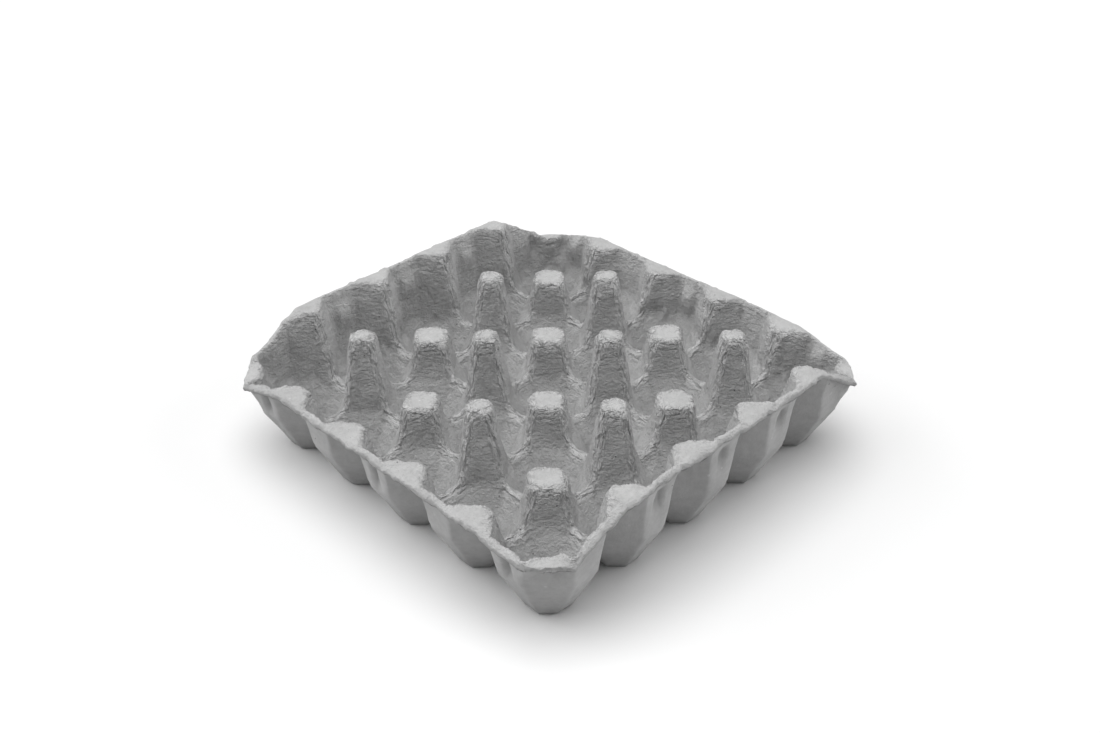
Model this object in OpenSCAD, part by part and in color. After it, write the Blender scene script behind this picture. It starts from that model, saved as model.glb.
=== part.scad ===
// Moulded paper-pulp egg tray: a square grid of octagonal cups in one thin shell.
// Tapered posts stand between the cups, cut off at two heights, and the rim is high on two
// opposite sides and low on the other two, so that trays interlock when one is turned.
// Millimetres, +Z up, origin under the middle cup, on the plane of the feet.

/* [Cells] */
// Cups along each side
cells = 5; // [3:2:5]
// Distance between the centres of neighbouring cups
cell_pitch = 48; // [46:0.5:51]
// Thickness of the pulp
wall = 2.2; // [1.6:0.1:2.6]

/* [Cups] */
// Width of a cup's floor across its flats
floor_width = 18.8; // [16:0.4:22]
// Height of the shoulder, where a cup's cone turns into its upright wall
shoulder_height = 28; // [27:0.5:31]
// How far a cup stays inside its own cell at the shoulder
shoulder_gap = 0.4; // [0.2:0.1:0.8]
// How far the upright wall leans out between the shoulder and the top of a tall post
wall_lean = 4.4; // [3.6:0.2:5]
// Height of the upright band at a cup's floor and shoulder
band_height = 0.6; // [0.4:0.1:1]
// Height of the low crests between neighbouring cups
saddle_height = 25.5; // [23:0.5:26]

/* [Posts] */
// Width of a post across its faces at the shoulder
post_base_width = 25; // [23:0.5:26]
// Width of a post across its faces at the top of a tall post
post_tip_width = 13.6; // [12:0.2:15]
// Height of the slim tall posts
tall_post_height = 68; // [62:1:74]
// Height of the wide low posts
wide_post_height = 48; // [43:1:54]
// Share of a post's sharp ridge that is left after rounding
ridge_share = 0.86; // [0.82:0.01:0.94]
// Height over the saddles at which a post's ridge stops flaring
flare_height = 9; // [7:0.5:11]
// How far the flare stands out from the ridge at its waist
flare_waist = 1; // [0.5:0.1:1.5]
// Width of the gap on a crest between the flares of two posts
flare_gap = 3; // [2:0.5:5]
// Radius of the edge round a post's top
top_round = 2.6; // [1.6:0.2:3.4]

/* [Rim] */
// Height of the rim on the two low sides
low_rim_height = 53; // [49:1:57]
// How far the rim on the two high sides lies below the tops of the tall posts
rim_drop = 2; // [0:0.5:4]
// Height of the rim at the four corners
corner_rim_height = 46; // [42:1:48]
// Width of the flange outside the upright walls
flange_width = 2.4; // [2:0.2:4]
// Leg of the chamfer at each corner of the flange
corner_chamfer = 17; // [12:1:20]
// Distance over which the rim falls towards a corner
rim_ramp = 37; // [30:1:38]
// How far the ledge behind the half posts reaches in from the outer cells' edge
ledge_depth = 4; // [3.5:0.5:5]

/* [Lugs] */
// Width of the short ribs that keep nested trays apart
lug_width = 9; // [7.5:0.5:11]
// How far a rib stands into its cup at its top
lug_depth = 3; // [2:0.2:3.6]
// Length of a rib
lug_length = 15; // [12:1:16]
// Height of a rib's top on the low sides
low_lug_top = 47; // [45:1:48]
// Height of a rib's top on the high sides
high_lug_top = 58; // [50:1:60]

/* [Hidden] */
pulp_grey = [0.56, 0.56, 0.56];
upper_facets = 16;
under_facets = 12;
clear = 20;
centre_span = (cells - 1) / 2 * cell_pitch;
half_pitch = cell_pitch / 2;
cup_to_post = cell_pitch / sqrt(2);
space_top = tall_post_height + clear;
shoulder_half = half_pitch - shoulder_gap;
high_rim_height = tall_post_height - rim_drop;
lean_slope = wall_lean / (tall_post_height - shoulder_height);
post_taper = (post_base_width - post_tip_width) / 2 / (tall_post_height - shoulder_height);
low_edge = centre_span + wall_half(low_rim_height) + wall + flange_width;
high_edge = centre_span + wall_half(high_rim_height) + wall + flange_width;
ledge_half = centre_span + half_pitch - ledge_depth;
ledge_corner = centre_span * sqrt(2) + corner_half(shoulder_height) - ledge_depth;

// Half the width of a post across its faces at a height
function post_half(z) = post_base_width / 2 - (z - shoulder_height) * post_taper;
// Distance of a post's rounded ridge from its axis at a height
function ridge_radius(z) = sqrt(2) * post_half(z) * ridge_share;
// Half the width of a cup square to the tray, over the shoulder
function wall_half(z) = shoulder_half + (z - shoulder_height) * lean_slope;
// Half the width of a cup across its corners, over the shoulder
function corner_half(z) = cup_to_post - post_half(z);

// Eight-sided outline, with one half width square to the tray and one across the corners,
// kept to a thousandth of a millimetre so that neighbouring cups meet exactly
module octagon(square_half, diagonal_half) {
    far = round(1000 * square_half) / 1000;
    near = round(1000 * (sqrt(2) * diagonal_half - square_half)) / 1000;
    polygon([
        [far, -near],
        [far, near],
        [near, far],
        [-near, far],
        [-far, near],
        [-far, -near],
        [-near, -far],
        [near, -far]
    ]);
}

// Upright band of a cup at one level
module cup_level(z, square_half, diagonal_half) {
    translate([0, 0, z])
        linear_extrude(band_height)
            octagon(square_half, diagonal_half);
}

// Space in one cup, lofted from floor to shoulder and on up; grown, it is the cup's outside
module cup_space(grow) {
    hull() {
        cup_level(wall - grow, floor_width / 2 + grow, floor_width / 2 + grow);
        cup_level(shoulder_height, shoulder_half + grow, corner_half(shoulder_height) + grow);
        cup_level(space_top, wall_half(space_top) + grow, corner_half(space_top) + grow);
    }
}

// Rib left standing on one outer wall, at a place along it
module lug(place, top, inset) {
    reach = centre_span + wall_half(top) - lug_depth + inset;
    translate([reach, place - lug_width / 2 + inset, top - lug_length + inset])
        cube([clear, lug_width - 2 * inset, lug_length - 2 * inset]);
}

// Ribs on every second cup of the low sides and on the inner cups of the high sides
module lugs(inset) {
    for (side = [0, 180])
        rotate(side) {
            for (k = [0 : 2 : cells - 1])
                lug(k * cell_pitch - centre_span, low_lug_top, inset);
            rotate(90)
                for (k = [1 : cells - 2])
                    lug(k * cell_pitch - centre_span, high_lug_top, inset);
        }
}

// Spaces of all the cups, without the ribs
module cup_spaces(grow) {
    difference() {
        for (i = [0 : cells - 1], j = [0 : cells - 1])
            translate([i * cell_pitch - centre_span, j * cell_pitch - centre_span, 0])
                cup_space(grow);
        lugs(grow);
    }
}

// Round limit of a post: a bell that flares into the saddles and has a rounded top edge
module post_bell(height, inset) {
    flare_top = saddle_height + flare_height;
    round_side = top_round * (1 - sqrt(0.5));
    rotate_extrude($fn = inset > 0 ? under_facets : upper_facets)
        polygon([
            [0, -clear],
            [(cell_pitch - flare_gap) / 2 - inset, -clear],
            [(cell_pitch - flare_gap) / 2 - inset, saddle_height - inset],
            [ridge_radius(saddle_height) + flare_waist - inset, saddle_height + flare_height / 3 - inset],
            [ridge_radius(flare_top) - inset, flare_top - inset],
            [ridge_radius(height) - inset, height - top_round - inset],
            [ridge_radius(height) - round_side - inset, height - round_side - inset],
            [ridge_radius(height) - top_round - inset, height - inset],
            [0, height - inset]
        ]);
}

// Height of the post at a crossing of the grid; the outermost crossings belong to the rim
function crossing_height(i, j) =
    i == 0 || i == cells ? low_rim_height :
    j == 0 || j == cells ? high_rim_height :
    (i + j) % 2 == 0 ? wide_post_height : tall_post_height;

// Posts at the crossings between cups, without the four corners
module posts(inset) {
    last = cells;
    for (i = [0 : last], j = [0 : last])
        if ((i > 0 && i < last) || (j > 0 && j < last))
            translate([i * cell_pitch - centre_span - half_pitch, j * cell_pitch - centre_span - half_pitch, 0])
                post_bell(crossing_height(i, j), inset);
}

// Side view of one wall: level along the middle, falling to the corners
module wall_view(rim_height, inset) {
    far = high_edge + clear;
    low_end = ledge_half - ledge_depth / 2;
    high_end = low_end - rim_ramp;
    polygon([
        [-far, -clear],
        [far, -clear],
        [far, corner_rim_height - inset],
        [low_end, corner_rim_height - inset],
        [high_end, rim_height - inset],
        [-high_end, rim_height - inset],
        [-low_end, corner_rim_height - inset],
        [-far, corner_rim_height - inset]
    ]);
}

// One wall with its flange, on the +X side
module wall_block(rim_height, inset) {
    translate([ledge_half + inset, 0, 0])
        rotate([90, 0, 90])
            linear_extrude(high_edge + clear - ledge_half)
                wall_view(rim_height, inset);
}

// Filling behind the corner cup's diagonal wall
module corner_block(inset) {
    rotate(45)
        translate([ledge_corner + inset, -high_edge, -clear])
            cube([high_edge, 2 * high_edge, clear + corner_rim_height - inset]);
}

// The walls and corners of all four sides
module rim_blocks(inset) {
    for (side = [0, 180])
        rotate(side) {
            wall_block(low_rim_height, inset);
            rotate(90)
                wall_block(high_rim_height, inset);
            corner_block(inset);
            rotate(90)
                corner_block(inset);
        }
}

// All that stands under the tray's upper face; inset by the wall, under its lower face
module body_under(inset) {
    difference() {
        union() {
            translate([0, 0, -clear])
                linear_extrude(clear + saddle_height - inset)
                    square(2 * (high_edge + clear), center = true);
            posts(inset);
            rim_blocks(inset);
        }
        cup_spaces(inset);
    }
}

// Outline of the flange: a rectangle with its corners cut off
module flange_outline() {
    hull() {
        square([2 * low_edge, 2 * (high_edge - corner_chamfer)], center = true);
        square([2 * (low_edge - corner_chamfer), 2 * high_edge], center = true);
    }
}

// The tray as moulded: one shell between its upper and its lower face
module egg_tray() {
    color(pulp_grey)
        difference() {
            intersection() {
                body_under(0);
                linear_extrude(space_top)
                    flange_outline();
            }
            body_under(wall);
        }
}

egg_tray();
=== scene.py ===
import bpy
import numpy as np
from mathutils import Matrix


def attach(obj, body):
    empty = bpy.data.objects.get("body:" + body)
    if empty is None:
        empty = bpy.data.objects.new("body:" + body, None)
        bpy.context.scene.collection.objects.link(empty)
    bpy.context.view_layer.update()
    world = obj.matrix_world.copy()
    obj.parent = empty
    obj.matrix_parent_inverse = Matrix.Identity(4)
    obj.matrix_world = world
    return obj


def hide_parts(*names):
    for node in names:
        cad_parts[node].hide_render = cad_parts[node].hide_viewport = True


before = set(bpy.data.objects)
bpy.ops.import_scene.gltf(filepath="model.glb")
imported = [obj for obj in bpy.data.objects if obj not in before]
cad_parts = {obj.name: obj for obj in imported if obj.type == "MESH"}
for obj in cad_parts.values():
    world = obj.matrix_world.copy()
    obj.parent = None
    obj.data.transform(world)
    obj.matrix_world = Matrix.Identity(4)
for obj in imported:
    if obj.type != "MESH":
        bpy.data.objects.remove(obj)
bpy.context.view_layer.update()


# The tray, as it leaves the mould: one sheet of wet paper pulp, sucked on to a metal screen and dried.
# The screen side underneath is smooth; the open upper side dries lumpy, with torn, folded ridges.
# Both faces are height fields over the plan, in millimetres, the lower one a wall's thickness inside.
CELLS, PITCH = 5, 48.0
SPAN = (CELLS - 1) / 2 * PITCH
WALL = 2.2
FLOOR_HALF = 9.4
POST_HALF = 12.5
SHOULDER, SHOULDER_GAP = 28.0, 0.4
SHOULDER_SQUARE, SHOULDER_CORNER = PITCH / 2 - SHOULDER_GAP, PITCH / np.sqrt(2) - POST_HALF
BAND = 0.6
LEAN, TAPER = 0.11, 0.1425
SADDLE = 25.5
RIDGE_SHARE, SHELF_SHARE = 0.86, 0.83
FLARE_HEIGHT, FLARE_WAIST, FLARE_GAP = 9.0, 1.0, 3.0
TOP_ROUND = 2.6
TALL_ROUND = 1.4 * TOP_ROUND
WIDE_POST, TALL_POST = 48.0, 68.0
LOW_RIM, HIGH_RIM, CORNER_RIM = 53.0, 66.0, 46.0
LEDGE_DEPTH, RAMP, FLANGE, CHAMFER = 4.0, 37.0, 2.4, 17.0
LEDGE = SPAN + PITCH / 2 - LEDGE_DEPTH
LEDGE_CORNER = SPAN * np.sqrt(2) + SHOULDER_CORNER - LEDGE_DEPTH
RAMP_FOOT = LEDGE - LEDGE_DEPTH / 2
RAMP_TOP = RAMP_FOOT - RAMP
LOW_EDGE = SPAN + SHOULDER_SQUARE + (LOW_RIM - SHOULDER) * LEAN + WALL + FLANGE
HIGH_EDGE = SPAN + SHOULDER_SQUARE + (HIGH_RIM - SHOULDER) * LEAN + WALL + FLANGE


def cups(x, y, grow):
    """Height of the cup over each point of the plan: the highest of the floor, the cone and the steep
    wall, each taken square to the tray and across the corners, all moved out by grow."""
    dx = np.abs(x - np.clip(np.round(x / PITCH) * PITCH, -SPAN, SPAN))
    dy = np.abs(y - np.clip(np.round(y / PITCH) * PITCH, -SPAN, SPAN))
    square = np.maximum(dx, dy)
    corner = (dx + dy) / np.sqrt(2)
    foot = WALL + BAND - grow
    height = np.full_like(x, WALL - grow)
    for reach, half, slope in ((square, SHOULDER_SQUARE, LEAN), (corner, SHOULDER_CORNER, TAPER)):
        cone = foot + (reach - FLOOR_HALF - grow) * (SHOULDER - foot) / (half - FLOOR_HALF)
        steep = SHOULDER + (reach - half - grow) / slope
        height = np.maximum(height, np.maximum(cone, steep))
    return height


def bells(x, y, inset):
    """Height of the nearest post's round limit, as a function of the distance from the post's axis: level
    on top, a rounded edge, a straight taper and a flare into the low crests. The half posts on the rims
    end in a narrower shelf, and the tall posts have a rounder edge."""
    i = np.clip(np.round(x / PITCH + CELLS / 2), 0, CELLS)
    j = np.clip(np.round(y / PITCH + CELLS / 2), 0, CELLS)
    away = np.hypot(x - (i - CELLS / 2) * PITCH, y - (j - CELLS / 2) * PITCH) + inset
    on_low, on_high = (i == 0) | (i == CELLS), (j == 0) | (j == CELLS)
    within = ~on_low & ~on_high
    kinds = (
        (on_low & ~on_high, LOW_RIM, SHELF_SHARE, TOP_ROUND),
        (on_high & ~on_low, HIGH_RIM, SHELF_SHARE, TOP_ROUND),
        (within & ((i + j) % 2 == 0), WIDE_POST, 1.0, TOP_ROUND),
        (within & ((i + j) % 2 == 1), TALL_POST, 1.0, TALL_ROUND),
    )

    def ridge(z):
        return np.sqrt(2) * RIDGE_SHARE * (POST_HALF - (z - SHOULDER) * TAPER)

    height = np.full_like(x, SADDLE)
    for chosen, top, share, bend in kinds:
        turn = bend * (1 - np.sqrt(0.5))
        end = share * ridge(top)
        reach = [end - bend, end - turn, end, ridge(SADDLE + FLARE_HEIGHT),
                 ridge(SADDLE) + FLARE_WAIST, (PITCH - FLARE_GAP) / 2]
        level = [top, top - turn, top - bend, SADDLE + FLARE_HEIGHT, SADDLE + FLARE_HEIGHT / 3, SADDLE]
        height = np.where(chosen, np.interp(away, reach, level), height)
    return height - inset


def rims(x, y, inset):
    """Height of the walls and corners: each side level along its middle, falling in a straight ramp
    to the four corners, and nothing inside the ledge behind the half posts."""
    height = np.full_like(x, SADDLE)
    for along, across, top in ((y, x, LOW_RIM), (x, y, HIGH_RIM)):
        view = np.interp(np.abs(along), [RAMP_TOP, RAMP_FOOT], [top, CORNER_RIM])
        height = np.where(np.abs(across) >= LEDGE + inset, np.maximum(height, view), height)
    outside = (np.abs(x) + np.abs(y)) / np.sqrt(2) >= LEDGE_CORNER + inset
    return np.where(outside, np.maximum(height, CORNER_RIM), height) - inset


def face(x, y, inset):
    """Height of the tray's upper face, or with inset of its lower one: posts and rims, cut by cups."""
    return np.minimum(np.maximum(bells(x, y, inset), rims(x, y, inset)), cups(x, y, inset))


def plan(cells):
    """Square grid of plan points laid into the chamfered outline: four sides with even steps, each from
    the middle of one chamfer to the next, and between them the sum of the two straight blends less the
    blend of the corners."""
    t = np.linspace(0, 1, cells + 1)

    def side(half_long, half_across):
        knots = np.array([[half_across - CHAMFER / 2, CHAMFER / 2 - half_long], [half_across, CHAMFER - half_long],
                          [half_across, half_long - CHAMFER], [half_across - CHAMFER / 2, half_long - CHAMFER / 2]])
        run = np.r_[0, np.cumsum(np.hypot(*np.diff(knots, axis=0).T))]
        return np.interp(t * run[-1], run, knots[:, 1]), np.interp(t * run[-1], run, knots[:, 0])

    along_y, far_x = side(HIGH_EDGE, LOW_EDGE)
    along_x, far_y = side(LOW_EDGE, HIGH_EDGE)
    s, r = t[:, None], t[None, :]
    corner_x, corner_y = along_x[-1], along_y[-1]
    x = along_x[:, None] * np.ones_like(r) + (2 * s - 1) * (far_x[None, :] - corner_x)
    y = along_y[None, :] * np.ones_like(s) + (2 * r - 1) * (far_y[:, None] - corner_y)
    return x, y


def settle(x, y, inset, rounds):
    """Moves each inner point of the grid towards the mean of its four neighbours, weighted by how steep
    the edge to each is, so that steep walls get as many points as level ones."""
    least, steepest, favour, stride = 0.05, 9.0, 0.8, 0.8
    x, y = x.copy(), y.copy()
    for _ in range(rounds):
        z = face(x, y, inset)
        pull = np.zeros((3,) + x[1:-1, 1:-1].shape)
        for di, dj in ((-1, 0), (1, 0), (0, -1), (0, 1)):
            rows = slice(1 + di, x.shape[0] - 1 + di)
            columns = slice(1 + dj, x.shape[1] - 1 + dj)
            ex, ey = x[rows, columns], y[rows, columns]
            level = np.hypot(ex - x[1:-1, 1:-1], ey - y[1:-1, 1:-1]) + least
            slant = np.hypot(level, z[rows, columns] - z[1:-1, 1:-1]) / level
            pull += np.minimum(slant, steepest) ** favour * np.stack([ex, ey, np.ones_like(ex)])
        x[1:-1, 1:-1] += stride * (pull[0] / pull[2] - x[1:-1, 1:-1])
        y[1:-1, 1:-1] += stride * (pull[1] / pull[2] - y[1:-1, 1:-1])
    return x, y


def finer(grid, times):
    """Grid with that many steps for each one before, by straight interpolation along both ways."""
    n = grid.shape[0] - 1
    fine = np.linspace(0, n, n * times + 1)
    low = np.minimum(fine.astype(int), n - 1)
    part = fine - low
    grid = grid[low] * (1 - part)[:, None] + grid[low + 1] * part[:, None]
    return grid[:, low] * (1 - part) + grid[:, low + 1] * part


def held(field, rows):
    """Field over the grid with its outermost rows set to nothing, so that the border stays in place."""
    field = field.copy()
    field[:rows], field[-rows:], field[:, :rows], field[:, -rows:] = 0, 0, 0, 0
    return field


def sharpened(x, y, inset):
    """Points of a face moved on to its edges: each goes to the place that lies nearest to the planes that
    touch the face at eight spots round it, half a grid step away, held a little to where it was. Where a
    square of the grid would fold over, its corners are taken back."""
    spots = ((-0.6, 0), (0.6, 0), (0, -0.6), (0, 0.6),
             (-0.45, -0.45), (-0.45, 0.45), (0.45, -0.45), (0.45, 0.45))
    hold, h, least_area, back = 0.06, 0.02, 0.02, 0.3
    along = np.stack([np.gradient(x, axis=0), np.gradient(y, axis=0)], -1)
    across = np.stack([np.gradient(x, axis=1), np.gradient(y, axis=1)], -1)
    z = face(x, y, inset)
    grip = np.zeros(x.shape + (3, 3)) + hold * np.eye(3)
    pull = np.zeros(x.shape + (3,))
    for s, t in spots:
        step = s * along + t * across
        px, py = x + step[..., 0], y + step[..., 1]
        slope_x = (face(px + h, py, inset) - face(px - h, py, inset)) / (2 * h)
        slope_y = (face(px, py + h, inset) - face(px, py - h, inset)) / (2 * h)
        n = np.stack([-slope_x, -slope_y, np.ones_like(x)], -1)
        n /= np.linalg.norm(n, axis=-1, keepdims=True)
        lift = np.sum(n[..., :2] * step, -1) + n[..., 2] * (face(px, py, inset) - z)
        grip += n[..., :, None] * n[..., None, :]
        pull += n * lift[..., None]
    move = np.linalg.solve(grip, pull[..., None])[..., 0]
    most = 0.5 * np.minimum(np.linalg.norm(along, axis=-1), np.linalg.norm(across, axis=-1)) + 0.1
    far = np.hypot(move[..., 0], move[..., 1])
    move *= np.minimum(1, most / np.maximum(far, 1e-9))[..., None]
    move = held(move, 1)
    first, last = slice(0, -1), slice(1, None)
    for _ in range(4):
        q = np.stack([x, y], -1) + move[..., :2]
        left, right = q[last, first] - q[first, first], q[last, last] - q[first, last]
        low, high = q[first, last] - q[first, first], q[last, last] - q[last, first]
        area = [p[..., 0] * r[..., 1] - p[..., 1] * r[..., 0] for p in (left, right) for r in (low, high)]
        folded = np.min(area, axis=0) < least_area
        taken = np.zeros(x.shape, bool)
        for rows in (first, last):
            for columns in (first, last):
                taken[rows, columns] |= folded
        move[taken] *= back
    return np.stack([x, y, z], -1) + move


def eased(p, rounds):
    """Points or values of a grid rounded off: each inner one goes half way to the mean of its neighbours."""
    p = p.copy()
    for _ in range(rounds):
        mean = (p[:-2, 1:-1] + p[2:, 1:-1] + p[1:-1, :-2] + p[1:-1, 2:]) / 4
        p[1:-1, 1:-1] += 0.5 * (mean - p[1:-1, 1:-1])
    return p


def normals(p):
    """Unit normals of a grid of points, from the cross product of the steps along its two ways."""
    n = np.cross(np.gradient(p, axis=0), np.gradient(p, axis=1))
    return n / np.maximum(np.linalg.norm(n, axis=-1, keepdims=True), 1e-9)


def lumps(p, size, seed):
    """Smooth random field from -1 to 1: random numbers on a cubic lattice of that cell size, turned out
    of line with the tray, and eased between the eight corners of each cell."""
    table = np.random.default_rng(seed).uniform(-1, 1, (32, 32, 32))
    turn = np.array([[0.8, -0.6, 0.0], [0.6, 0.8, 0.0], [0.0, 0.0, 1.0]])
    q = p @ turn.T / np.asarray(size) + 100.0
    cell = np.floor(q).astype(int)
    f = q - cell
    f = f * f * (3 - 2 * f)
    total = np.zeros(p.shape[:-1])
    for corner in np.ndindex(2, 2, 2):
        share = np.prod(np.where(np.array(corner) == 1, f, 1 - f), axis=-1)
        a, b, c = np.moveaxis((cell + np.array(corner)) % 32, -1, 0)
        total += share * table[a, b, c]
    return total


def rise(t):
    """Smooth step from 0 to 1 as t goes from 0 to 1."""
    t = np.clip(t, 0, 1)
    return t * t * (3 - 2 * t)


COARSE_CELLS = 62
UPPER_CELLS, LOWER_CELLS = 4 * COARSE_CELLS, 3 * COARSE_CELLS
x, y = settle(*plan(COARSE_CELLS), 0.0, 200)
x, y = settle(finer(x, 2), finer(y, 2), 0.0, 120)
x, y = settle(finer(x, 2), finer(y, 2), 0.0, 60)
upper = eased(sharpened(x, y, 0.0), 1)
x, y = settle(*plan(COARSE_CELLS), WALL, 200)
x, y = settle(finer(x, 3), finer(y, 3), WALL, 120)
lower = sharpened(x, y, WALL)

# Short ribs on some cups keep nested trays apart: a dent in the wall from outside, a rib inside.
# Those on the low sides are pressed in deeper and narrower than those on the high sides.
LUG_LENGTH = 15.0
LOW_LUG_HALF, LOW_LUG_DEPTH, LOW_LUG_TOP = 4.0, 3.2, 47.0
HIGH_LUG_HALF, HIGH_LUG_DEPTH, HIGH_LUG_TOP = 4.5, 2.4, 58.0


def ribbed(p, inset):
    """Points of a face with the ribs pushed in, full depth at the top of each rib and three quarters at its
    foot, and how far each point is pushed, from 0 to 1."""
    p, dent = p.copy(), np.zeros(p.shape[:-1])
    for axis, along, lug_half, lug_depth, top, places in (
        (0, 1, LOW_LUG_HALF, LOW_LUG_DEPTH, LOW_LUG_TOP, (-2, 0, 2)),
        (1, 0, HIGH_LUG_HALF, HIGH_LUG_DEPTH, HIGH_LUG_TOP, (-1, 0, 1)),
    ):
        half, level = lug_half - 0.6 * inset, top - 0.4 * inset
        outer = np.abs(p[..., axis]) > SPAN + 15
        inside = rise((level + 1.0 - p[..., 2]) / 2.4) * rise((p[..., 2] - level + LUG_LENGTH) / 3.0)
        depth = lug_depth * (0.75 + 0.25 * rise((p[..., 2] - level + LUG_LENGTH) / LUG_LENGTH))
        for place in places:
            beside = 1 - rise((np.abs(p[..., along] - place * PITCH) - half + 0.6) / 1.2)
            pushed = outer * beside * inside
            p[..., axis] -= np.sign(p[..., axis]) * pushed * depth
            dent = np.maximum(dent, pushed * lug_depth / LOW_LUG_DEPTH)
    return p, dent


(upper, rib), (lower, dent) = ribbed(upper, 0.0), ribbed(lower, WALL)

# Under the flange the walls bend out a little, so that its edge is thin.
# At each corner a half-round tongue of the ledge stays between two such bends.
SIDE_OUT, SIDE_FADE = 1.2, 3.2
CORNER_OUT, CORNER_FADE = 3.5, 6.5
TONGUE_HALF, TONGUE_ROUND, TONGUE_END = 4.5, 5.0, 11.0


def flared(p):
    """Points with the walls moved out towards the outline: most near the rim, nothing at the outline itself
    and nothing low down, and at the corners only on both sides of the tongue."""
    x, y, z = np.abs(p[..., 0]), np.abs(p[..., 1]), p[..., 2]
    short_x, short_y = LOW_EDGE - x, HIGH_EDGE - y
    short_corner = (LOW_EDGE + HIGH_EDGE - CHAMFER - x - y) / np.sqrt(2)
    by_side = np.clip(np.minimum(short_x, short_y) / SIDE_FADE, 0, 1)
    by_corner = np.clip(short_corner / CORNER_FADE, 0, 1)
    aside = np.abs(x - y + HIGH_EDGE - LOW_EDGE) / np.sqrt(2)
    notch = rise((aside - TONGUE_HALF) / TONGUE_ROUND) * (1 - rise((aside - TONGUE_END) / 4))
    out = CORNER_OUT / np.sqrt(2) * notch * by_side * by_corner
    out = out * (1 - rise((short_corner - 12) / 8)) * rise((z - SHOULDER) / 16)
    moved = p.copy()
    for axis, short, along, top in ((0, short_x, y, LOW_RIM), (1, short_y, x, HIGH_RIM)):
        rim = np.interp(along, [RAMP_TOP, RAMP_FOOT], [top, CORNER_RIM])
        side = SIDE_OUT * by_side * by_corner * (1 - rise((short - 8) / 8)) * rise((z - rim + 14) / 12)
        moved[..., axis] += np.sign(p[..., axis]) * (side + out)
    return moved


upper, lower = flared(upper), flared(lower)

# Drying bends the whole tray, and handling bends its corners: sign of x, sign of y and lift of each.
SLOW_WARP, QUICK_WARP = 0.7, 0.5
FLANGE_DROP, DROP_WIDTH = 1.3, 7.0
CORNER_LIFTS = ((-1, -1, 2.2), (1, 1, -3.0), (-1, 1, -2.8), (1, -1, -2.4))


def warped(p):
    """Points moved as the drying pulp warps: slow waves through the whole tray, the flange let down
    towards its edge, and the four corners lifted or let down, each by its own amount."""
    slow = np.stack([lumps(p, 60.0, seed) for seed in (11, 12, 13)], -1)
    quick = np.stack([lumps(p, 20.0, seed) for seed in (14, 15, 16)], -1)
    p = p + (SLOW_WARP * slow + QUICK_WARP * quick) * rise(p[..., 2:] / 30)
    short = np.minimum(LOW_EDGE - np.abs(p[..., 0]), HIGH_EDGE - np.abs(p[..., 1]))
    p[..., 2] -= FLANGE_DROP * np.clip(1 - short / DROP_WIDTH, 0, 1) ** 1.5 * rise((p[..., 2] - 30) / 10)
    for sign_x, sign_y, lift in CORNER_LIFTS:
        reach = (sign_x * p[..., 0] + sign_y * p[..., 1]) / np.sqrt(2)
        p[..., 2] += lift * rise((reach - 148.0) / 18.0)
    return p


upper, lower = warped(upper), warped(lower)

# The open side is lumpy: soft lumps on every wall, level wrinkles on steep ones, folded flakes on ridges.
# Floors and ribs are pressed smoother, and the low crests next to the outer walls are broken up.
FULL_BEND = 0.7
out = normals(upper)
around = (np.roll(upper, 2, 0) + np.roll(upper, -2, 0) + np.roll(upper, 2, 1) + np.roll(upper, -2, 1)) / 4
bend = held(np.sum((upper - around) * out, -1), 2)
ridge = rise(np.clip(bend, 0, None) / FULL_BEND)
crease = rise(np.clip(-bend, 0, None) / FULL_BEND)
spread = np.clip(1.8 * eased(ridge, 4), 0, 1)
rib = np.clip(3.0 * eased(rib, 6), 0, 1)
spread, crease = spread * (1 - 0.85 * rib), crease * (1 - 0.85 * rib)
steep = 1 - np.abs(out[..., 2])
floors = 1 - rise((upper[..., 2] - 4) / 14)
swirl = upper + 2.0 * np.stack([lumps(upper, 6.0, seed) for seed in (21, 22, 23)], -1)
soft = 0.35 * lumps(upper, 9.0, 31) + 0.45 * lumps(upper, 4.4, 32) * (0.4 + 0.6 * steep)
wrinkle = 0.25 * lumps(upper, (8.0, 8.0, 3.0), 33) * steep
flake = 1.1 * (0.4 - np.abs(lumps(swirl, (4.2, 4.2, 3.6), 34))) * spread
push = (soft + wrinkle) * (1 - 0.7 * floors) * (1 - 0.7 * rib) + flake
outmost = np.maximum(np.abs(upper[..., 0]), np.abs(upper[..., 1]))
broken = rise((outmost - 98) / 6) * (1 - rise((outmost - 114) / 4))
broken = broken * rise((upper[..., 2] - 17) / 5) * (1 - rise((upper[..., 2] - 30) / 8))
push += broken * (1.2 * lumps(upper, 3.0, 35) + 0.8 * lumps(upper, 6.0, 36) - 0.4)
push = held(push, 1)

# Where each point lies beside and along the nearest line between two cups, for the flakes in the material.
# Level tops and the flange count as far from any line.
FAR = 12.0
cup_i, cup_j = (np.clip(np.round(upper[..., k] / PITCH), -(CELLS // 2), CELLS // 2) for k in (0, 1))
line_i, line_j = (np.round(upper[..., k] / PITCH - 0.5) + 0.5 for k in (0, 1))
beside_x, beside_y = upper[..., 0] - line_i * PITCH, upper[..., 1] - line_j * PITCH
by_x = np.abs(beside_x) < np.abs(beside_y)
beside = np.where(by_x, beside_x, beside_y)
along = np.where(by_x, upper[..., 1] - cup_j * PITCH, upper[..., 0] - cup_i * PITCH)
along = along + np.sign(along) * (upper[..., 2] - SADDLE)
which = np.where(by_x, 13.7 * line_i + 5.3 * cup_j, 100 + 13.7 * line_j + 5.3 * cup_i)
level_top = rise((out[..., 2] - 0.6) / 0.25) * rise((upper[..., 2] - 34) / 4)
beyond = rise((outmost - 112) / 5)
crest = np.minimum(np.abs(beside) + FAR * np.maximum(level_top, beyond), FAR)
seam = np.stack([beside / 1000, along / 1000, which], -1)

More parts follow.
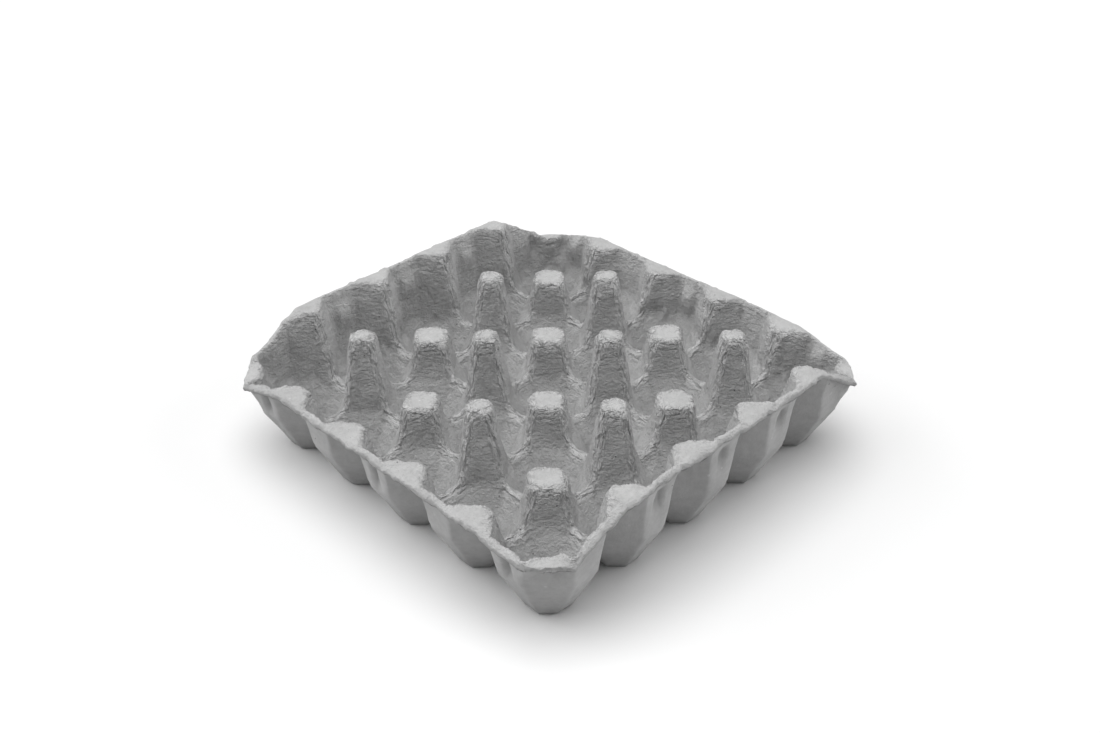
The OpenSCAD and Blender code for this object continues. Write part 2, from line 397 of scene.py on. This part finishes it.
# The screen side underneath only waves a little.
upper = upper + push[..., None] * out
soft = held(0.20 * lumps(lower, 14.0, 41) + 0.07 * lumps(lower, 5.0, 42), 1)
lower = lower - soft[..., None] * normals(lower)


def loop(cells):
    """Numbers of the grid points round the border, in order: along each side from corner to corner."""
    n = np.arange((cells + 1) ** 2).reshape(cells + 1, cells + 1)
    return np.concatenate([n[:-1, 0], n[-1, :-1], n[:0:-1, -1], n[0, :0:-1]])


def quads(cells):
    """Corner numbers of each square of the grid, in order round it."""
    n = np.arange((cells + 1) ** 2).reshape(cells + 1, cells + 1)
    return np.stack([n[:-1, :-1], n[1:, :-1], n[1:, 1:], n[:-1, 1:]], -1).reshape(-1, 4)


def tear(p, border, rough, drop):
    """Moves the border points out or in along the plan by up to 1.6 mm, and up or down, at random and less
    the drop; gives back the way out at each."""
    edge = p[border]
    away = edge[:, :2] / np.linalg.norm(edge[:, :2], axis=1, keepdims=True)
    torn = 0.9 * lumps(edge, 3.0, 51) + 0.7 * lumps(edge, 9.0, 52)
    p[border, :2] += torn[:, None] * away
    p[border, 2] += 0.5 * lumps(edge, 5.0, 53) + rough * lumps(edge, 2.6, 55) - drop
    return away


# The flange's edge is torn, not cut: both faces wander alike at their border, and a row of points between
# them makes the edge round.
upper_loop, lower_loop = loop(UPPER_CELLS), loop(LOWER_CELLS)
top, low = upper.reshape(-1, 3), lower.reshape(-1, 3)
away = tear(top, upper_loop, 0.9, 0.7)
tear(low, lower_loop, 0.6, 0.9)
middle = top[upper_loop].copy()
middle[:, :2] += (0.45 + 0.2 * lumps(middle, 2.5, 54))[:, None] * away
middle[:, 2] -= WALL / 2

# One closed mesh: upper face, lower face turned over, and the edge. Along the edge, four steps of the upper
# face meet three of the lower one.
points = np.concatenate([top, low, middle]) / 1000
low_start, middle_start = len(top), len(top) + len(low)
here = np.arange(len(upper_loop))
after = np.roll(here, -1)
strip = np.stack([upper_loop[here], middle_start + here, middle_start + after, upper_loop[after]], -1)
groups = np.arange(len(lower_loop) // 3)[:, None]
over = middle_start + (4 * groups + np.arange(5)) % len(upper_loop)
under = low_start + lower_loop[(3 * groups + np.arange(4)) % len(lower_loop)]
fan = np.concatenate(
    [np.stack([over[:, k], under[:, k], over[:, k + 1]], -1) for k in range(4)]
    + [np.stack([over[:, k + 1], under[:, k], under[:, k + 1]], -1) for k in range(3)]
)
faces = np.concatenate([quads(UPPER_CELLS), low_start + quads(LOWER_CELLS)[:, ::-1], strip])
mesh = bpy.data.meshes.new("egg_tray_pulp")
mesh.from_pydata(points.tolist(), [], faces.tolist() + fan.tolist())
mesh.polygons.foreach_set("use_smooth", np.ones(len(mesh.polygons), bool))


def joined(above, below, between):
    """One value for each point of the mesh: those of the upper face, of the lower face and of the edge."""
    parts = ((above, len(top)), (below, len(low)), (between, len(middle)))
    return np.concatenate([np.broadcast_to(np.ravel(values), count) for values, count in parts])


# The crease and dent marks serve only to darken the material as painted shade; ridge also sets the painted
# highlight.
marks = {
    "ridge": joined(np.maximum(spread * (1 - 0.5 * beyond), 0.26 * rise((steep - 0.4) / 0.4)), 0.0, 0.2),
    "crease": joined(crease, 0.0, 0.0),
    "crest": joined(crest, FAR, FAR) / 1000,
    "dent": joined(0.0, 0.5 * dent, 0.0),
    "upper": joined(1.0, 0.0, 0.5),
}
for name, values in marks.items():
    mesh.attributes.new(name, "FLOAT", "POINT").data.foreach_set("value", values.astype(np.float32))
seam = np.concatenate([seam.reshape(-1, 3), np.zeros((len(low) + len(middle), 3))]).astype(np.float32)
mesh.attributes.new("seam", "FLOAT_VECTOR", "POINT").data.foreach_set("vector", seam.ravel())
mesh.update()
tray = bpy.data.objects.new("egg_tray_pulp", mesh)
bpy.context.scene.collection.objects.link(tray)
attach(tray, "root")
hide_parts("egg_tray")

# Moulded paper pulp: grey recycled fibre, quite matt, so that only its form and its small lumps show.
# It gives the eye a soft, mottled grey with dark pits and pale flecks of paper; ridges and crests are made paler as
# a painted highlight, and creases, dents and the foot of each torn layer darker as painted shade.
# Lengths are in metres here.
LUMP, FIBRE, BLOTCH = 0.0036, 0.0012, 0.022
FLAKE_THIN, FLAKE_WIDE, FLAKE_LONG = 0.0019, 0.0042, 0.008
PIT_SPACING, FLECK_SPACING = 0.0075, 0.011
RELIEF = 0.0014
pulp = bpy.data.materials.new("moulded paper pulp")
pulp.use_nodes = True
tree = pulp.node_tree
tree.nodes.clear()


def colour(code):
    """Linear colour from an sRGB hex code."""
    c = np.array([int(code[k:k + 2], 16) for k in (1, 3, 5)]) / 255
    c = np.where(c <= 0.04045, c / 12.92, ((c + 0.055) / 1.055) ** 2.4)
    return (*c.tolist(), 1.0)


def add(kind, inputs=None, **settings):
    """Adds a node with its settings to the tree in hand; an input is a value or the socket that feeds it.
    In a mix, input 0 is the share, 2 and 3 are the two values and 6 and 7 the two colours."""
    node = tree.nodes.new(kind)
    for name, value in settings.items():
        setattr(node, name, value)
    for name, value in (inputs or {}).items():
        if isinstance(value, bpy.types.NodeSocket):
            tree.links.new(value, node.inputs[name])
        else:
            node.inputs[name].default_value = value
    return node.outputs


place = add("ShaderNodeTexCoord")["Object"]
ridges = add("ShaderNodeAttribute", attribute_name="ridge")["Fac"]
creases = add("ShaderNodeAttribute", attribute_name="crease")["Fac"]
crests = add("ShaderNodeAttribute", attribute_name="crest")["Fac"]
seams = add("ShaderNodeAttribute", attribute_name="seam")["Vector"]
dents = add("ShaderNodeAttribute", attribute_name="dent")["Fac"]
uppers = add("ShaderNodeAttribute", attribute_name="upper")["Fac"]

# Relief finer than the mesh: lumps and fibres everywhere, and torn layers of pulp, thin and long, that lie
# along the crests near them and level elsewhere, strongest at the edges. The lower face has fibres only.
lump = add("ShaderNodeTexNoise", {"Vector": place, "Scale": 1 / LUMP, "Detail": 4.0, "Roughness": 0.62})["Fac"]
fibre = add("ShaderNodeTexNoise", {"Vector": place, "Scale": 1 / FIBRE, "Detail": 2.0})["Fac"]
torn = {"Scale": 1.0, "Detail": 2.0, "Roughness": 0.55}
stretch = (1 / FLAKE_THIN, 1 / FLAKE_LONG, 1.0)
long_way = add("ShaderNodeVectorMath", {0: seams, 1: stretch}, operation="MULTIPLY")["Vector"]
long_way = add("ShaderNodeTexNoise", {"Vector": long_way, "Distortion": 0.4, **torn})["Fac"]
stretch = (1 / FLAKE_WIDE, 1 / FLAKE_WIDE, 1 / FLAKE_THIN)
level_way = add("ShaderNodeVectorMath", {0: place, 1: stretch}, operation="MULTIPLY")["Vector"]
level_way = add("ShaderNodeTexNoise", {"Vector": level_way, "Distortion": 0.5, **torn})["Fac"]
near = add("ShaderNodeMapRange", {"Value": crests, "From Min": 0.0022, "From Max": 0.005,
                                  "To Min": 1.0, "To Max": 0.0})["Result"]
layer = add("ShaderNodeMix", {0: near, 2: level_way, 3: long_way})[0]
layer = add("ShaderNodeMath", {0: layer, 1: 8.0}, operation="MULTIPLY")["Value"]
layer = add("ShaderNodeMath", {0: layer}, operation="FRACT")["Value"]
edges = add("ShaderNodeMath", {0: near, 1: 0.75}, operation="MULTIPLY")["Value"]
edges = add("ShaderNodeMath", {0: edges, 1: ridges}, operation="MAXIMUM")["Value"]
layered = add("ShaderNodeMath", {0: layer, 1: edges}, operation="MULTIPLY")["Value"]
height = add("ShaderNodeMath", {0: layered, 1: 0.6, 2: lump}, operation="MULTIPLY_ADD")["Value"]
height = add("ShaderNodeMath", {0: fibre, 1: 0.35, 2: height}, operation="MULTIPLY_ADD")["Value"]
height = add("ShaderNodeMath", {0: height, 1: uppers}, operation="MULTIPLY")["Value"]
height = add("ShaderNodeMath", {0: fibre, 1: 0.12, 2: height}, operation="MULTIPLY_ADD")["Value"]
relief = add("ShaderNodeBump", {"Height": height, "Strength": 1.0, "Distance": RELIEF})["Normal"]

# Colour: mottled grey, with a painted highlight that makes ridges and crests paler, and painted shade that darkens
# the foot of each torn layer, the creases and the dents.
blotch = add("ShaderNodeTexNoise", {"Vector": place, "Scale": 1 / BLOTCH, "Detail": 3.0, "Roughness": 0.6})["Fac"]
grain = add("ShaderNodeMath", {0: lump, 1: blotch}, operation="ADD")["Value"]
shade = add("ShaderNodeMapRange", {"Value": grain, "From Min": 0.7, "From Max": 1.3})["Result"]
grey = add("ShaderNodeMix", {0: shade, 6: colour("#b4b4b4"), 7: colour("#c6c6c6")}, data_type="RGBA")[2]
# Painted highlight: ridges and crests are made paler, as if lit from above.
painted_highlight = add("ShaderNodeMath", {0: edges, 1: 0.6}, operation="MULTIPLY")["Value"]
grey = add("ShaderNodeMix", {0: painted_highlight, 6: grey, 7: colour("#cfcfcf")}, data_type="RGBA")[2]
# Painted shade: darker at the foot of each torn layer, in creases and in the rib dents, where shade falls.
painted_shade = add("ShaderNodeMapRange", {"Value": layer, "From Min": 0.16, "From Max": 0.02, "To Max": 0.6})["Result"]
painted_shade = add("ShaderNodeMath", {0: painted_shade, 1: edges}, operation="MULTIPLY")["Value"]
shade_in_hollows = add("ShaderNodeMath", {0: creases, 1: 0.2, 2: dents}, operation="MULTIPLY_ADD")["Value"]
painted_shade = add("ShaderNodeMath", {0: painted_shade, 1: shade_in_hollows}, operation="MAXIMUM")["Value"]
grey = add("ShaderNodeMix", {0: painted_shade, 6: grey, 7: colour("#727272")}, data_type="RGBA")[2]

# Dark pits in a third of the cells of one pattern, and pale flecks of paper in each cell of another.
dots = add("ShaderNodeTexVoronoi", {"Vector": place, "Scale": 1 / PIT_SPACING})
kept = add("ShaderNodeSeparateColor", {"Color": dots["Color"]})["Red"]
kept = add("ShaderNodeMath", {0: kept, 1: 0.65}, operation="GREATER_THAN")["Value"]
pit = add("ShaderNodeMapRange", {"Value": dots["Distance"], "From Min": 0.085, "From Max": 0.05,
                                 "To Max": 0.75})["Result"]
pit = add("ShaderNodeMath", {0: pit, 1: kept}, operation="MULTIPLY")["Value"]
grey = add("ShaderNodeMix", {0: pit, 6: grey, 7: colour("#565656")}, data_type="RGBA")[2]
flecks = add("ShaderNodeTexVoronoi", {"Vector": place, "Scale": 1 / FLECK_SPACING})
fleck = add("ShaderNodeMapRange", {"Value": flecks["Distance"], "From Min": 0.09, "From Max": 0.05,
                                   "To Max": 0.5})["Result"]
grey = add("ShaderNodeMix", {0: fleck, 6: grey, 7: colour("#dcdcdc")}, data_type="RGBA")[2]
fibres = add("ShaderNodeBsdfPrincipled", {"Roughness": 0.95, "Specular IOR Level": 0.2, "IOR": 1.45,
                                          "Normal": relief, "Base Color": grey})["BSDF"]
add("ShaderNodeOutputMaterial", {"Surface": fibres})
mesh.materials.append(pulp)

# Studio: a pale floor and a white surround that lights softly from all sides.
# Three wide, soft lights do the rest: one above, and a lower one at the left and at the right of the camera.
floor_mesh = bpy.data.meshes.new("studio_floor")
floor_mesh.from_pydata([(-4, -4, 0), (4, -4, 0), (4, 4, 0), (-4, 4, 0)], [], [(0, 1, 2, 3)])
floor = bpy.data.objects.new("studio_floor", floor_mesh)
floor.location.z = -0.0005
bpy.context.scene.collection.objects.link(floor)
paint = bpy.data.materials.new("pale studio floor")
paint.use_nodes = True
tree = paint.node_tree
tree.nodes.clear()
seen = add("ShaderNodeLightPath")["Is Camera Ray"]
tone = add("ShaderNodeMix", {0: seen, 6: colour("#c8c8c8"), 7: colour("#f6f6f6")}, data_type="RGBA")[2]
matt = add("ShaderNodeBsdfDiffuse", {"Color": tone})["BSDF"]
add("ShaderNodeOutputMaterial", {"Surface": matt})
floor_mesh.materials.append(paint)

world = bpy.data.worlds.new("studio")
world.use_nodes = True
bpy.context.scene.world = world
tree = world.node_tree
tree.nodes.clear()
seen = add("ShaderNodeLightPath")["Is Camera Ray"]
soft_light = add("ShaderNodeBackground", {"Color": colour("#ffffff"), "Strength": 0.14})["Background"]
white = add("ShaderNodeBackground", {"Color": colour("#ffffff"), "Strength": 1.0})["Background"]
both = add("ShaderNodeMixShader", {0: seen, 1: soft_light, 2: white})["Shader"]
add("ShaderNodeOutputWorld", {"Surface": both})

for name, strength, angle, tilt, heading in (
    ("light_above", 2.25, 60, -3, 0),
    ("light_left", 1.28, 55, 60, 225),
    ("light_right", 1.06, 50, 74, 45),
):
    lamp = bpy.data.lights.new(name, "SUN")
    lamp.energy = strength
    lamp.angle = np.radians(angle)
    lamp_object = bpy.data.objects.new(name, lamp)
    lamp_object.rotation_euler = (np.radians(tilt), 0, np.radians(heading))
    lamp_object.location = (0, 0, 2)
    bpy.context.scene.collection.objects.link(lamp_object)

# Camera: a pinhole fitted to the photograph's posts, rims and feet, for a frame of 1100 by 733.
# Its distance and target were fitted in cell pitches.
AZIMUTH, ELEVATION, ROLL = 0.7792, 0.5737, 0.0089
DISTANCE, TARGET = 17.3485 * PITCH / 1000, np.array([1.082, 1.0688, 0.0]) * PITCH / 1000
FOCAL_PIXELS, FRAME_WIDTH = 1342.7, 1100
back = np.array([-np.sin(AZIMUTH) * np.cos(ELEVATION), -np.cos(AZIMUTH) * np.cos(ELEVATION), np.sin(ELEVATION)])
right = np.cross(-back, [0, 0, 1])
right /= np.linalg.norm(right)
down = np.cross(-back, right)
right, down = np.cos(ROLL) * right + np.sin(ROLL) * down, np.cos(ROLL) * down - np.sin(ROLL) * right
camera = bpy.data.cameras.new("camera")
camera.sensor_width = 36.0
camera.lens = FOCAL_PIXELS / FRAME_WIDTH * camera.sensor_width
camera_object = bpy.data.objects.new("camera", camera)
axes = np.eye(4)
axes[:3, 0], axes[:3, 1], axes[:3, 2], axes[:3, 3] = right, -down, back, TARGET + back * DISTANCE
camera_object.matrix_world = Matrix(axes.tolist())
bpy.context.scene.collection.objects.link(camera_object)
bpy.context.scene.camera = camera_object
bpy.context.scene.view_settings.view_transform = "Standard"
